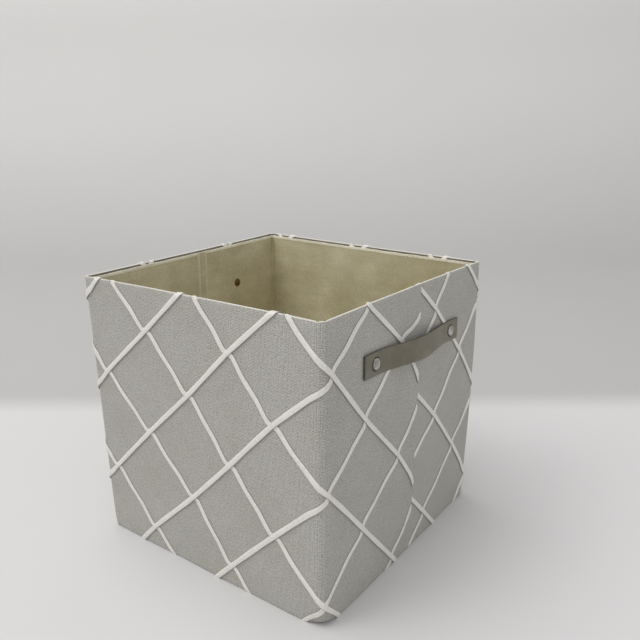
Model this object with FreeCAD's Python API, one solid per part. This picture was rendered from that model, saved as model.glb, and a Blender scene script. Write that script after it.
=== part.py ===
import FreeCAD, Part
import math
import os

from FreeCAD import Placement, Rotation, Vector

# Collapsible fabric storage bin, in millimetres.
# +Z is up, the plain front wall faces -Y and the handles are on the +X and -X sides.
# The origin is the centre of the underside. Every wall is a stiff board between an outer
# cover and an inner lining, and both side walls are split at the middle, where they fold in.

# Overall size
WIDTH = 330.0            # outer face to outer face of the handle sides, along X
DEPTH = 327.0            # outer face to outer face of the front and rear walls, along Y
HEIGHT = 325.0           # floor to rim

# Wall layers, from the outside in
COVER = 1.0              # linen-weave outer cloth
BOARD = 2.5              # stiffening board
LINING = 0.8             # non-woven inner cloth
WALL = COVER + BOARD + LINING
CORNER_RADIUS = 6.0      # outside radius of the cover round a vertical corner
RIM_EDGE = 2.5           # height of the pale edging at the top of the lining

# Clearances of the fold
FOLD_GAP = 0.3           # between the pieces of two walls that turn against each other
SEAM_OFFSET = 1.2        # side fold axis, outside the cover face
POCKET = 5.5             # space for the upright insert between rear wall and folded sides

# Base
BASE_CLOTH = 1.0         # cloth floor under the walls
INSERT_BOARD = 3.0       # stiff board of the base insert
INSERT_CLOTH = 0.6       # cloth sewn round that board
INSERT_GAP = 3.0         # insert edge to lining

# Tape lattice on the cover
TAPE_WIDTH = 6.0
TAPE_THICKNESS = 0.8
TAPE_PITCH = 123.0       # from one tape to the next in the same direction, along the wall
RISING_ANGLE = 43.6      # slope of the tapes that rise to the right, in degrees
FALLING_ANGLE = 48.0     # slope of the tapes that fall to the right, in degrees
# Height below the rim and distance from the wall's middle of one crossing on each wall
CROSSING_DROP = 50.0
CROSSING_FRONT = -67.0
CROSSING_RIGHT = -31.0
CROSSING_REAR = -50.0
CROSSING_LEFT = -14.0

# Handles, with their two rivets
STRAP_LENGTH = 200.0
STRAP_WIDTH = 25.0
STRAP_THICKNESS = 2.2
STRAP_BOW = 9.0          # how far the middle of the strap stands off the wall
STRAP_CLEARANCE = 0.2    # strap to the tapes under its flat ends
STRAP_BEND_SPAN = 124.0  # length of the bowed stretch between the flat ends
RIVET_SPACING = 162.0
RIGHT_HANDLE_DROP = 65.8 # rim to the middle of the right handle
RIGHT_HANDLE_TILT = -2.4 # slope of the right handle towards the rear, in degrees
LEFT_HANDLE_DROP = 61.0
LEFT_HANDLE_TILT = 1.8
CAP_DIAMETER = 15.0
CAP_RIM = 0.8            # straight edge of the cap under its dome
CAP_DOME = 2.0           # height of the dome above that edge
POST_DIAMETER = 4.0
POST_CLEARANCE = 0.4     # strap hole to rivet post, on the radius
BACK_DIAMETER = 11.0
BACK_RIM = 0.6
BACK_DOME = 1.6

X_AXIS = Vector(1, 0, 0)
Y_AXIS = Vector(0, 1, 0)
Z_AXIS = Vector(0, 0, 1)
WALL_BOTTOM = BASE_CLOTH
WALL_HEIGHT = HEIGHT - WALL_BOTTOM
INSERT_THICKNESS = INSERT_BOARD + 2 * INSERT_CLOTH
STRAP_LIFT = TAPE_THICKNESS + STRAP_CLEARANCE
FAR = WIDTH + DEPTH + HEIGHT   # longer than any piece, for cutting tools


def box(low, high):
    """A box from its lowest to its highest corner."""
    size = [high[i] - low[i] for i in range(3)]
    return Part.makeBox(size[0], size[1], size[2], Vector(*low))


def rounded_prism(inset, bottom, top):
    """The bin's outline, moved in by inset, as an upright prism with rounded corners."""
    half_x = WIDTH / 2 - inset
    half_y = DEPTH / 2 - inset
    prism = box((-half_x, -half_y, bottom), (half_x, half_y, top))
    upright = [edge for edge in prism.Edges if abs(edge.tangentAt(edge.FirstParameter).z) > 0.9]
    return prism.makeFillet(CORNER_RADIUS - inset, upright)


def wall_ring(outer, inner, bottom, top):
    """One layer of the wall right round the bin, between two insets."""
    return rounded_prism(outer, bottom, top).cut(rounded_prism(inner, bottom, top))


def end_zone(side):
    """The space of the front (side -1) or rear (side +1) wall, with its rounded corners."""
    start = DEPTH / 2 - CORNER_RADIUS
    near, far = sorted((side * start, side * FAR))
    return box((-FAR, near, -FAR), (FAR, far, FAR))


def flat_zone(side):
    """The space of the front or rear wall between its rounded corners."""
    half = WIDTH / 2 - CORNER_RADIUS
    return end_zone(side).common(box((-half, -FAR, -FAR), (half, FAR, FAR)))


def half_zone(x_side, y_side):
    """The space of one half of a side wall, from the fold line to the rounded corner."""
    x_near, x_far = sorted((0.0, x_side * FAR))
    start = FOLD_GAP / 2
    stop = DEPTH / 2 - CORNER_RADIUS - FOLD_GAP
    y_near, y_far = sorted((y_side * start, y_side * stop))
    return box((x_near, y_near, -FAR), (x_far, y_far, FAR))


def cover_ring():
    """The outer cloth, turned in over the top of the board."""
    sheet = wall_ring(0.0, COVER, WALL_BOTTOM, HEIGHT)
    turned_top = wall_ring(COVER, COVER + BOARD, HEIGHT - COVER, HEIGHT)
    return sheet.fuse(turned_top).removeSplitter()


def strip(wall_half, along, height, angle):
    """One straight tape through a point of a wall that faces -Y, longer than the wall."""
    band = Part.makeBox(2 * FAR, TAPE_THICKNESS, TAPE_WIDTH, Vector(-FAR, 0, -TAPE_WIDTH / 2))
    turn = Rotation(Y_AXIS, -angle)
    return band.transformed(Placement(Vector(along, -wall_half - TAPE_THICKNESS, height), turn).toMatrix())


def tape_family(wall_half, crossing, angle, clip):
    """All tapes of one direction on one wall, cut to the wall's edges."""
    count = int(FAR / TAPE_PITCH) + 1
    strips = []
    for step in range(-count, count + 1):
        along = crossing + step * TAPE_PITCH
        piece = strip(wall_half, along, HEIGHT - CROSSING_DROP, angle).common(clip)
        strips.extend(piece.Solids)
    return strips


def wall_tapes(turn, wall_half, crossing, near, far, rising_on_top):
    """Rising and falling tapes of one wall: the lower family stops at the upper one."""
    clip = box((near, -FAR, WALL_BOTTOM), (far, FAR, HEIGHT))
    rising = tape_family(wall_half, crossing, RISING_ANGLE, clip)
    falling = tape_family(wall_half, crossing, -FALLING_ANGLE, clip)
    if rising_on_top:
        falling = cut_all(falling, rising)
    else:
        rising = cut_all(rising, falling)
    return [spin(group, turn) for group in (rising, falling)]


def cut_all(solids, tools):
    """Each solid, cut by every tool, as a list of solids."""
    return Part.Compound(solids).cut(tools).Solids


def spin(solids, degrees):
    """A group of solids turned about the bin's upright middle line."""
    group = Part.Compound(solids)
    group.rotate(Vector(0, 0, 0), Z_AXIS, degrees)
    return group


def strap_arc(centre, radius, start_degrees, end_degrees):
    """An arc in the XY plane, with its angles counted from +X."""
    middle = (start_degrees + end_degrees) / 2
    points = []
    for degrees in (start_degrees, middle, end_degrees):
        angle = math.radians(degrees)
        points.append(centre + Vector(radius * math.cos(angle), radius * math.sin(angle), 0))
    return Part.Arc(*points).toShape()


def strap_edges(offset):
    """One long face of the strap seen from above, at a distance outside its wall side."""
    half_span = STRAP_BEND_SPAN / 2
    bend = 2 * math.degrees(math.atan(STRAP_BOW / half_span))
    radius = half_span / (2 * math.sin(math.radians(bend)))
    half_length = STRAP_LENGTH / 2
    edges = [Part.makeLine(Vector(offset, -half_length, 0), Vector(offset, -half_span, 0))]
    edges.append(strap_arc(Vector(radius, -half_span, 0), radius - offset, 180, 180 - bend))
    edges.append(strap_arc(Vector(STRAP_BOW - radius, 0, 0), radius + offset, -bend, bend))
    edges.append(strap_arc(Vector(radius, half_span, 0), radius - offset, 180 + bend, 180))
    edges.append(Part.makeLine(Vector(offset, half_span, 0), Vector(offset, half_length, 0)))
    return edges


def handle_placement(side, height, tilt):
    """From the handle's own frame, wall at x = 0 and outside at +x, to its side of the bin."""
    slope = Placement(Vector(WIDTH / 2, 0, height), Rotation(X_AXIS, side * tilt))
    facing = Placement(Vector(0, 0, 0), Rotation(Z_AXIS, 0 if side > 0 else 180))
    return facing.multiply(slope)


def strap():
    """A flat strap that bows off the wall in the middle, with a hole for each rivet."""
    inner = strap_edges(STRAP_LIFT)
    outer = strap_edges(STRAP_LIFT + STRAP_THICKNESS)
    ends = []
    for index in (0, -1):
        near = inner[index].Vertexes[index].Point
        far = outer[index].Vertexes[index].Point
        ends.append(Part.makeLine(near, far))
    outline = Part.Wire(Part.__sortEdges__(inner + outer + ends))
    band = Part.Face(outline).extrude(Z_AXIS * STRAP_WIDTH)
    band.translate(Vector(0, 0, -STRAP_WIDTH / 2))
    hole_radius = POST_DIAMETER / 2 + POST_CLEARANCE
    for rivet_y in (-RIVET_SPACING / 2, RIVET_SPACING / 2):
        band = band.cut(Part.makeCylinder(hole_radius, FAR, Vector(-FAR / 2, rivet_y, 0), X_AXIS))
    return band


def domed_disc(diameter, edge, dome):
    """A disc along +X with a straight edge and a spherical dome on it."""
    radius = diameter / 2
    sphere_radius = (radius ** 2 + dome ** 2) / (2 * dome)
    disc = Part.makeCylinder(radius, edge + dome, Vector(0, 0, 0), X_AXIS)
    centre = Vector(edge + dome - sphere_radius, 0, 0)
    return disc.common(Part.makeSphere(sphere_radius, centre))


def rivet(rivet_y):
    """The outer half of a rivet: a domed cap over the strap and a post through the wall."""
    cap = domed_disc(CAP_DIAMETER, CAP_RIM, CAP_DOME)
    cap.translate(Vector(STRAP_LIFT + STRAP_THICKNESS, rivet_y, 0))
    post_length = WALL + STRAP_LIFT + STRAP_THICKNESS
    post = Part.makeCylinder(POST_DIAMETER / 2, post_length, Vector(-WALL, rivet_y, 0), X_AXIS)
    return cap.fuse(post).removeSplitter()


def rivet_back(rivet_y):
    """The inner half of a rivet: a smaller dome on the lining."""
    back = domed_disc(BACK_DIAMETER, BACK_RIM, BACK_DOME)
    back.rotate(Vector(0, 0, 0), Z_AXIS, 180)
    back.translate(Vector(-WALL, rivet_y, 0))
    return back


def post_hole(rivet_y):
    """The hole that a rivet post fills in the cover, board and lining."""
    start = Vector(-WALL - COVER, rivet_y, 0)
    return Part.makeCylinder(POST_DIAMETER / 2, WALL + 2 * COVER, start, X_AXIS)


def placed(shape, placement):
    """A copy of a shape moved from the handle's frame to the bin."""
    return shape.transformed(placement.toMatrix())


def end_wall(name, side, turn, crossing):
    """The cover, board, lining, edging and tapes of the front or rear wall."""
    half = WIDTH / 2 - CORNER_RADIUS
    lining_in = COVER + BOARD
    rising, falling = wall_tapes(turn, DEPTH / 2, crossing, -half, half, True)
    board = wall_ring(COVER, lining_in, WALL_BOTTOM, HEIGHT - COVER)
    return {
        name + "_cover": cover_ring().common(end_zone(side)),
        name + "_board": board.common(flat_zone(side)),
        name + "_lining": wall_ring(lining_in, WALL, WALL_BOTTOM, HEIGHT - RIM_EDGE).common(end_zone(side)),
        name + "_rim_edging": wall_ring(lining_in, WALL, HEIGHT - RIM_EDGE, HEIGHT).common(end_zone(side)),
        name + "_rising_tapes": rising,
        name + "_falling_tapes": falling,
    }


def side_half(name, x_side, y_side, turn, crossing, hole):
    """The same layers of one half of a side wall, with the hole for its rivet."""
    zone = half_zone(x_side, y_side)
    lining_in = COVER + BOARD
    start = FOLD_GAP / 2
    stop = DEPTH / 2 - CORNER_RADIUS - FOLD_GAP
    # Seen from outside, the wall's own right is +Y on the right side and -Y on the left side.
    towards = x_side * y_side
    near, far = sorted((towards * start, towards * stop))
    rising, falling = wall_tapes(turn, WIDTH / 2, crossing, near, far, False)
    layers = {
        name + "_cover": cover_ring(),
        name + "_board": wall_ring(COVER, lining_in, WALL_BOTTOM, HEIGHT - COVER),
        name + "_lining": wall_ring(lining_in, WALL, WALL_BOTTOM, HEIGHT - RIM_EDGE),
        name + "_rim_edging": wall_ring(lining_in, WALL, HEIGHT - RIM_EDGE, HEIGHT),
    }
    nodes = {node: layer.common(zone).cut(hole) for node, layer in layers.items()}
    nodes[name + "_rising_tapes"] = rising.cut(hole)
    nodes[name + "_falling_tapes"] = falling.cut(hole)
    return nodes


def side_wall(name, x_side, turn, crossing, handle_drop, handle_tilt):
    """Both halves of a side wall with the handle and its rivets."""
    placement = handle_placement(x_side, HEIGHT - handle_drop, handle_tilt)
    nodes = {name + "_handle_strap": placed(strap(), placement)}
    for half, y_side in (("front", -1), ("rear", 1)):
        rivet_y = x_side * y_side * RIVET_SPACING / 2
        hole = placed(post_hole(rivet_y), placement)
        panel = name + "_" + half
        nodes.update(side_half(panel, x_side, y_side, turn, crossing, hole))
        nodes[panel + "_rivet"] = placed(rivet(rivet_y), placement)
        nodes[panel + "_rivet_back"] = placed(rivet_back(rivet_y), placement)
    return nodes


def base():
    """The cloth floor of the bin and the loose-lying insert that keeps it square."""
    half_x = WIDTH / 2 - WALL - INSERT_GAP
    half_y = DEPTH / 2 - WALL - INSERT_GAP
    top = BASE_CLOTH + INSERT_THICKNESS
    whole = box((-half_x, -half_y, BASE_CLOTH), (half_x, half_y, top))
    inner_x = half_x - INSERT_CLOTH
    inner_y = half_y - INSERT_CLOTH
    board = box((-inner_x, -inner_y, BASE_CLOTH + INSERT_CLOTH), (inner_x, inner_y, top - INSERT_CLOTH))
    return {
        "base_cloth": rounded_prism(0.0, 0.0, BASE_CLOTH),
        "insert_board": board,
        "insert_cloth": whole.cut(board),
    }


def build():
    """Every node of the bin by name."""
    nodes = base()
    nodes.update(end_wall("front", -1, 0, CROSSING_FRONT))
    nodes.update(side_wall("right", 1, 90, CROSSING_RIGHT, RIGHT_HANDLE_DROP, RIGHT_HANDLE_TILT))
    nodes.update(end_wall("rear", 1, 180, CROSSING_REAR))
    nodes.update(side_wall("left", -1, 270, CROSSING_LEFT, LEFT_HANDLE_DROP, LEFT_HANDLE_TILT))
    return nodes


def joint_axes():
    """Where the walls and the insert turn, on the right side; the left side mirrors it in X."""
    corner = (WIDTH / 2 - WALL, DEPTH / 2 - WALL - POCKET)
    return {
        "corner folds, x and +-y": corner,
        "side middle fold, x and y": (WIDTH / 2 + SEAM_OFFSET, 0.0),
        "insert flip, y and z": (DEPTH / 2 - WALL - POCKET / 2, BASE_CLOTH + INSERT_THICKNESS / 2),
    }


os.makedirs("parts", exist_ok=True)
for axis_name, place in joint_axes().items():
    print(axis_name, [round(value, 3) for value in place])
for node_name, node_shape in build().items():
    node_shape.exportStep("parts/" + node_name + ".step")
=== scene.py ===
import math

import bmesh
import bpy
import numpy as np
from mathutils import Matrix, Vector


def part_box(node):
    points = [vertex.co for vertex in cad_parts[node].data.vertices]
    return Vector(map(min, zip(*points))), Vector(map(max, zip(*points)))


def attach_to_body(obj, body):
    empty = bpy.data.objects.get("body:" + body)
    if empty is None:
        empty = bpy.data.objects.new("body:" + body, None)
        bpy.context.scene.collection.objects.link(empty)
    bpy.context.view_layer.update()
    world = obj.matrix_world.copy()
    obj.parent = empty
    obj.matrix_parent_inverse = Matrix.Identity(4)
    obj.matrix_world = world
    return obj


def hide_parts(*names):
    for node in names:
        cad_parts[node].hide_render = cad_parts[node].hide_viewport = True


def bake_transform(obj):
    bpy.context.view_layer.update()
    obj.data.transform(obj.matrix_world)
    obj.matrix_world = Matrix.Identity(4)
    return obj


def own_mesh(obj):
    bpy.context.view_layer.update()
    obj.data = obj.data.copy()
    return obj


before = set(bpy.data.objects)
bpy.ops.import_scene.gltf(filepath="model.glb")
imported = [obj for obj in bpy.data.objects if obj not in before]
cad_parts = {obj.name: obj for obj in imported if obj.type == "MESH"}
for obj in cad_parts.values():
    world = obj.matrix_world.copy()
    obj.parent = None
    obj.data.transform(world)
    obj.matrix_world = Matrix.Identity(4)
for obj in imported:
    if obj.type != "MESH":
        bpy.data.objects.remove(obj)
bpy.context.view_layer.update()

MM = 0.001

# ---------------------------------------------------------------- sizes from the frame
base_low, base_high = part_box("base_cloth")
WIDTH = base_high.x - base_low.x
DEPTH = base_high.y - base_low.y
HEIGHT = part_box("front_cover")[1].z
CORNER = DEPTH / 2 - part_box("rear_cover")[0].y
BOARD_OUT = WIDTH / 2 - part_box("right_rear_board")[1].x      # cover thickness
BOARD_IN = WIDTH / 2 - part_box("right_rear_board")[0].x
WALL = WIDTH / 2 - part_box("right_rear_lining")[0].x
FLOOR_CLOTH = base_high.z
BOARD_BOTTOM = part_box("front_board")[0].z
BOARD_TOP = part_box("front_board")[1].z

# Distance along the wall, from the middle of the front, to the right round the bin
HALF_FRONT = WIDTH / 2 - CORNER
ARC = CORNER * math.pi / 2
SIDE = DEPTH - 2 * CORNER
RIGHT_START = HALF_FRONT + ARC
RIGHT_MIDDLE = RIGHT_START + SIDE / 2
RIGHT_END = RIGHT_START + SIDE
REAR_START = RIGHT_END + ARC
REAR_MIDDLE = REAR_START + HALF_FRONT
ROUND = 2 * REAR_MIDDLE

# ---------------------------------------------------------------- how the soft bin differs from its boards
TAPER = 0.016            # the walls lean out: rim wider than the base by twice this share
REAR_STAND = 0.05        # share of that lean the rear wall has at its foot, where the insert hinges
SIDE_BELLY = 1.5 * MM    # outward bow of the handle sides at mid height
SIDE_BELLY_LOW = 1.2 * MM
END_BELLY = 0.8 * MM     # outward bow of the front and rear walls
REAR_CORNER_BOW = 2.0 * MM
RIM_SADDLE = 2.0 * MM    # two opposite rim corners stand up by this, the others sink
NEAR_CORNER_SINK = 2.4 * MM      # the front right rim corner has been pressed down again
REAR_CORNER_RISE = 1.2 * MM
CORNER_POINT = 2.4 * MM  # three of the corners are drawn to a sharper edge than the fourth
POINT_REACH = 12 * MM
CHAMFER = 0.95           # how flat a turn the cloth makes round a corner
SLACK = 0.35 * MM        # gentle unevenness of the cloth over its boards
SLACK_WAVE = 0.085       # length of that unevenness
CORNER_PULL = 5.5 * MM   # how far the worn bottom corner, at the front right, is drawn in
CORNER_PULL_REST = 0.8 * MM
CORNER_LIFT = 2.2 * MM
CORNER_REACH = 30 * MM
CORNER_RISE = 20 * MM
SEAM = RIGHT_MIDDLE + 11 * MM    # sewn seam of the cover, just behind the fold line
SEAM_LAP = 0.7 * MM      # the upper cloth stands up at the seam, the lower one sinks beside it
SEAM_LAP_FADE = 6 * MM
SEAM_SINK_FADE = 4 * MM
CORNER_LINE = 0.75 * MM  # pressed line where a wall meets the flat of its corner
CORNER_LINE_HALF = 1.8 * MM
FOLD_DENT = 0.4 * MM
FOLD_DENT_HALF = 5 * MM
FOLD_ZONE = 6 * MM       # half of the cloth that bends at a side's middle fold
CORNER_ZONE = 13 * MM    # cloth that bends at a corner, each way

# ---------------------------------------------------------------- cloth layers
CLOTH = 0.9 * MM
ROLL = 1.35 * MM         # radius of the cover rolled over the top of the board
HEM_INSIDE = 4.0 * MM    # how far the cover reaches down the inside
FLOOR_TURN = 1.6 * MM    # radius of the cover's turn under the board
HEM_UNDER = 2.2 * MM
LINING_FACE = WALL
LINING_THICK = 0.6 * MM
LIP_HEIGHT = -2.8 * MM   # top of the pale lining edge, from the top of the rolled cover


def smooth(value):
    """0 to 1 with level ends."""
    t = np.clip(value, 0.0, 1.0)
    return t * t * (3 - 2 * t)


def bump(value):
    """1 at 0, falling smoothly to 0 at 1 either way."""
    return 1 - smooth(np.abs(value))


# ---------------------------------------------------------------- the shape of the slack bin
def front_right(side, end):
    """1 at the front right corner, falling to 0 along the walls beside it."""
    return np.clip((1 + side) / 2, 0, 1) ** 3 * np.clip((1 - end) / 2, 0, 1) ** 3


def pull_corners(x, y, z):
    """Corners as the cloth draws them: sharp at three of them, gathered and lifted at the worn one."""
    near_x = smooth((np.abs(x) - WIDTH / 2 + CORNER_REACH) / CORNER_REACH)
    near_y = smooth((np.abs(y) - DEPTH / 2 + CORNER_REACH) / CORNER_REACH)
    low = np.clip(1 - z / CORNER_RISE, 0, 1) ** 2
    pull = near_x * near_y * low
    worn = front_right(x / (WIDTH / 2), y / (DEPTH / 2))
    inward = pull * (CORNER_PULL_REST + (CORNER_PULL - CORNER_PULL_REST) * worn)
    point_x = smooth((np.abs(x) - WIDTH / 2 + POINT_REACH) / POINT_REACH)
    point_y = smooth((np.abs(y) - DEPTH / 2 + POINT_REACH) / POINT_REACH)
    outward = CORNER_POINT * point_x * point_y * (1 - worn)
    move = outward - inward
    return x + np.sign(x) * move, y + np.sign(y) * move, z + pull * CORNER_LIFT * (0.3 + 0.7 * worn)


def slack(points):
    """The bin of flat boards as it really stands: tapered, bowed and a little uneven."""
    x, y, z = (np.array(axis) for axis in np.asarray(points, float).reshape(-1, 3).T)
    x, y, z = pull_corners(x, y, z)
    height = np.clip(z / HEIGHT, 0, 1)
    side, end = x / (WIDTH / 2), y / (DEPTH / 2)
    belly = np.sin(math.pi * height)
    out_x = SIDE_BELLY * belly + SIDE_BELLY_LOW * (1 - height)
    out_x = out_x * np.clip(1 - end ** 2, 0, 1) * side
    out_y = END_BELLY * belly * np.clip(1 - side ** 2, 0, 1) * end
    rear_right = np.clip((1 + side) / 2, 0, 1) ** 2 * np.clip((1 + end) / 2, 0, 1) ** 2
    wave = 2 * math.pi / SLACK_WAVE
    ripple_x = np.sin(wave * (0.8 * y + 0.5 * z) + 1.3) * np.sin(wave * 0.43 * (z - 0.6 * y) + 0.4)
    ripple_y = np.sin(wave * (0.7 * x - 0.6 * z) + 0.2) * np.sin(wave * 0.39 * (z + 0.5 * x) + 2.1)
    scale = 1 + TAPER * (2 * height - 1)
    bow = REAR_CORNER_BOW * belly * rear_right
    new_x = x * scale + out_x + bow + SLACK * ripple_x * side
    rear_scale = 1 + TAPER * np.clip(2 * height - 1, -REAR_STAND, 1)
    new_y = y * np.where(y > 0, rear_scale, scale) + out_y + bow + SLACK * ripple_y * end
    rear_left = front_right(-side, -end)
    new_z = z - RIM_SADDLE * side * end * height - NEAR_CORNER_SINK * height * front_right(side, end)
    new_z = new_z + REAR_CORNER_RISE * height * rear_left
    return np.stack([new_x, new_y, new_z], 1)


def outline(u):
    """Point and outward direction on the bin's outline, at a distance along the wall."""
    u = np.asarray(u, float)
    flip = np.where(u > REAR_MIDDLE, -1.0, np.where(u < 0, -1.0, 1.0))
    along = np.where(u > REAR_MIDDLE, ROUND - u, np.abs(u))
    turn_front = np.clip((along - HALF_FRONT) / CORNER, 0, math.pi / 2)
    turn_rear = np.clip((along - RIGHT_END) / CORNER, 0, math.pi / 2)
    turn = turn_front + turn_rear
    x = np.clip(along, 0, HALF_FRONT) - np.clip(along - REAR_START, 0, None)
    y = np.clip(along - RIGHT_START, 0, SIDE) - SIDE / 2
    normal_x, normal_y = np.sin(turn), -np.cos(turn)
    share_front, share_rear = turn_front / (math.pi / 2), turn_rear / (math.pi / 2)
    chord_x = share_front - share_rear
    chord_y = -1 + share_front + share_rear
    round_x = CORNER * (normal_x + CHAMFER * (chord_x - normal_x))
    round_y = CORNER * (normal_y + CHAMFER * (chord_y - normal_y))
    return flip * (x + round_x), y + round_y, flip * normal_x, normal_y


def seam_relief(u):
    """Extra height of the cover near its side seams and fold lines."""
    total = np.zeros_like(u)
    for seam, middle, way in ((SEAM, RIGHT_MIDDLE, 1), (ROUND - SEAM, ROUND - RIGHT_MIDDLE, -1),
                              (-SEAM, -RIGHT_MIDDLE, -1)):
        before = way * (seam - u)
        total += SEAM_LAP * np.where(before >= 0, np.exp(-np.clip(before, 0, 1) / SEAM_LAP_FADE), 0)
        total -= 0.5 * SEAM_LAP * np.where(before < 0, np.exp(-np.clip(-before, 0, 1) / SEAM_SINK_FADE), 0)
        total -= FOLD_DENT * bump((u - middle) / FOLD_DENT_HALF)
    for start in (RIGHT_START - ARC, RIGHT_START, RIGHT_END, REAR_START):
        for line in (start, -start, ROUND - start):
            total -= CORNER_LINE * bump((u - line) / CORNER_LINE_HALF)
    return total


def shell(u, z, out):
    """Points on the slack bin from distance along the wall, height and distance outside the cover."""
    x, y, normal_x, normal_y = outline(u)
    return slack(np.stack([x + normal_x * out, y + normal_y * out, z], 1))


def cloth_line(s):
    """Where the cover's outside runs, by length up the cloth from the floor: (out, z, tilt)."""
    s = np.asarray(s, float)
    over = np.clip((s - (HEIGHT - ROLL)) / ROLL, 0, math.pi)
    under = np.clip((FLOOR_TURN - s) / FLOOR_TURN, 0, math.pi / 2)
    down = np.clip(s - (HEIGHT - ROLL) - math.pi * ROLL, 0, None)
    inward = np.clip(FLOOR_TURN - s - FLOOR_TURN * math.pi / 2, 0, None)
    flat = np.clip(s, FLOOR_TURN, HEIGHT - ROLL)
    out = ROLL * (np.cos(over) - 1) + FLOOR_TURN * (np.cos(under) - 1) - inward
    z = flat + ROLL * np.sin(over) - FLOOR_TURN * np.sin(under) - down
    return out, z, over - under


def on_cloth(u, s, lift):
    """Points a little above the cover, by distance along the wall and length up the cloth."""
    u, s = np.asarray(u, float), np.asarray(s, float)
    out, z, tilt = cloth_line(s)
    raised = lift + seam_relief(u)
    return shell(u, z + raised * np.sin(tilt), out + raised * np.cos(tilt))


# ---------------------------------------------------------------- mesh helpers
def make_object(name, points, faces, material, maps=None, sharp=40):
    """A smooth-shaded object, with sharp edges where faces turn by more than sharp degrees."""
    mesh = bpy.data.meshes.new(name)
    mesh.from_pydata([tuple(p) for p in points], [], faces)
    if maps is not None:
        layer = mesh.uv_layers.new(name="cloth")
        loops = np.zeros(len(mesh.loops), np.int32)
        mesh.loops.foreach_get("vertex_index", loops)
        layer.data.foreach_set("uv", np.asarray(maps, np.float32)[loops].ravel())
    mesh.polygons.foreach_set("use_smooth", [True] * len(mesh.polygons))
    mesh.validate()
    mesh.update()
    mesh.set_sharp_from_angle(angle=math.radians(sharp))
    obj = bpy.data.objects.new(name, mesh)
    bpy.context.scene.collection.objects.link(obj)
    obj.data.materials.append(material)
    return obj


def grid_faces(columns, rows, start=0, flip=False, closed=False):
    """Quads of a grid stored column by column."""
    faces = []
    for i in range(columns - 1):
        for j in range(rows if closed else rows - 1):
            k = (j + 1) % rows
            a, b = start + i * rows + j, start + (i + 1) * rows + j
            c, d = start + (i + 1) * rows + k, start + i * rows + k
            faces.append((d, c, b, a) if flip else (a, b, c, d))
    return faces


def loop_sheet(name, us, section, place, material, sharp=40):
    """A closed thin solid: one closed section repeated along the wall, with capped ends."""
    columns, rows = len(us), len(section)
    section = np.asarray(section, float)
    u = np.repeat(us, rows)
    first, second = np.tile(section[:, 0], columns), np.tile(section[:, 1], columns)
    points = place(u, first, second)
    faces = grid_faces(columns, rows, closed=True)
    faces.append(tuple(range(rows)))
    faces.append(tuple(range((columns - 1) * rows + rows - 1, (columns - 1) * rows - 1, -1)))
    return make_object(name, points, faces, material, np.stack([u, first], 1), sharp)


def spaced(start, stop, step):
    """Evenly spaced values from start to stop, no further apart than step."""
    return np.linspace(start, stop, max(2, int(math.ceil((stop - start) / step)) + 1))


SEAM_MARKS = (-12, -9, -6, -4, -2.5, -1.2, -0.2, 0.2, 1.2, 2.5, 4, 7)    # mm from a seam of the cover
LAP_MARKS = (-2, -1, 0, 1, 2)    # mm from an edge of a lining lap
CLOTH_STEP = 4 * MM      # width of the cloth's faces where it is flat
LINING_SEAMS = (-RIGHT_MIDDLE - 14 * MM, RIGHT_MIDDLE + 14 * MM)
LINING_LAP = 0.9 * MM    # a sewn lap of the lining stands this far in
LINING_RIDGE = 1.9 * MM  # and its two edges further
LINING_LAP_HALF = 8 * MM
LINING_CREASE = 0.3 * MM
# pale colour on the ridges either side of each lining lap: a painted highlight
LINING_LAP_HIGHLIGHT = (0.72, 0.68, 0.5)


def wall_stations(start, stop):
    """Places along the wall for a cloth grid, closer together where the cloth bends."""
    marks = {start, stop}
    for corner in (HALF_FRONT, RIGHT_END):
        for way in (corner, -corner - ARC, ROUND - corner - ARC):
            marks.update(np.round(np.linspace(way, way + ARC, 9), 6))
    for middle in (RIGHT_MIDDLE, -RIGHT_MIDDLE, ROUND - RIGHT_MIDDLE):
        marks.update(np.round(np.arange(middle - 9 * MM, middle + 9 * MM, 1.2 * MM), 6))
    for lap in LINING_SEAMS:
        for edge in (lap - LINING_LAP_HALF, lap + LINING_LAP_HALF):
            marks.update(np.round(edge + np.array(LAP_MARKS) * MM, 6))
    for seam in (SEAM, -SEAM, ROUND - SEAM):
        marks.update(np.round(seam + np.array(SEAM_MARKS) * MM, 6))
    marks.update(np.round(spaced(start, stop, CLOTH_STEP), 6))
    kept = sorted(m for m in marks if start <= m <= stop)
    out = [kept[0]]
    for mark in kept[1:]:
        if mark - out[-1] > 0.35 * MM:
            out.append(mark)
    out[-1] = stop
    return np.array(out)


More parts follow.
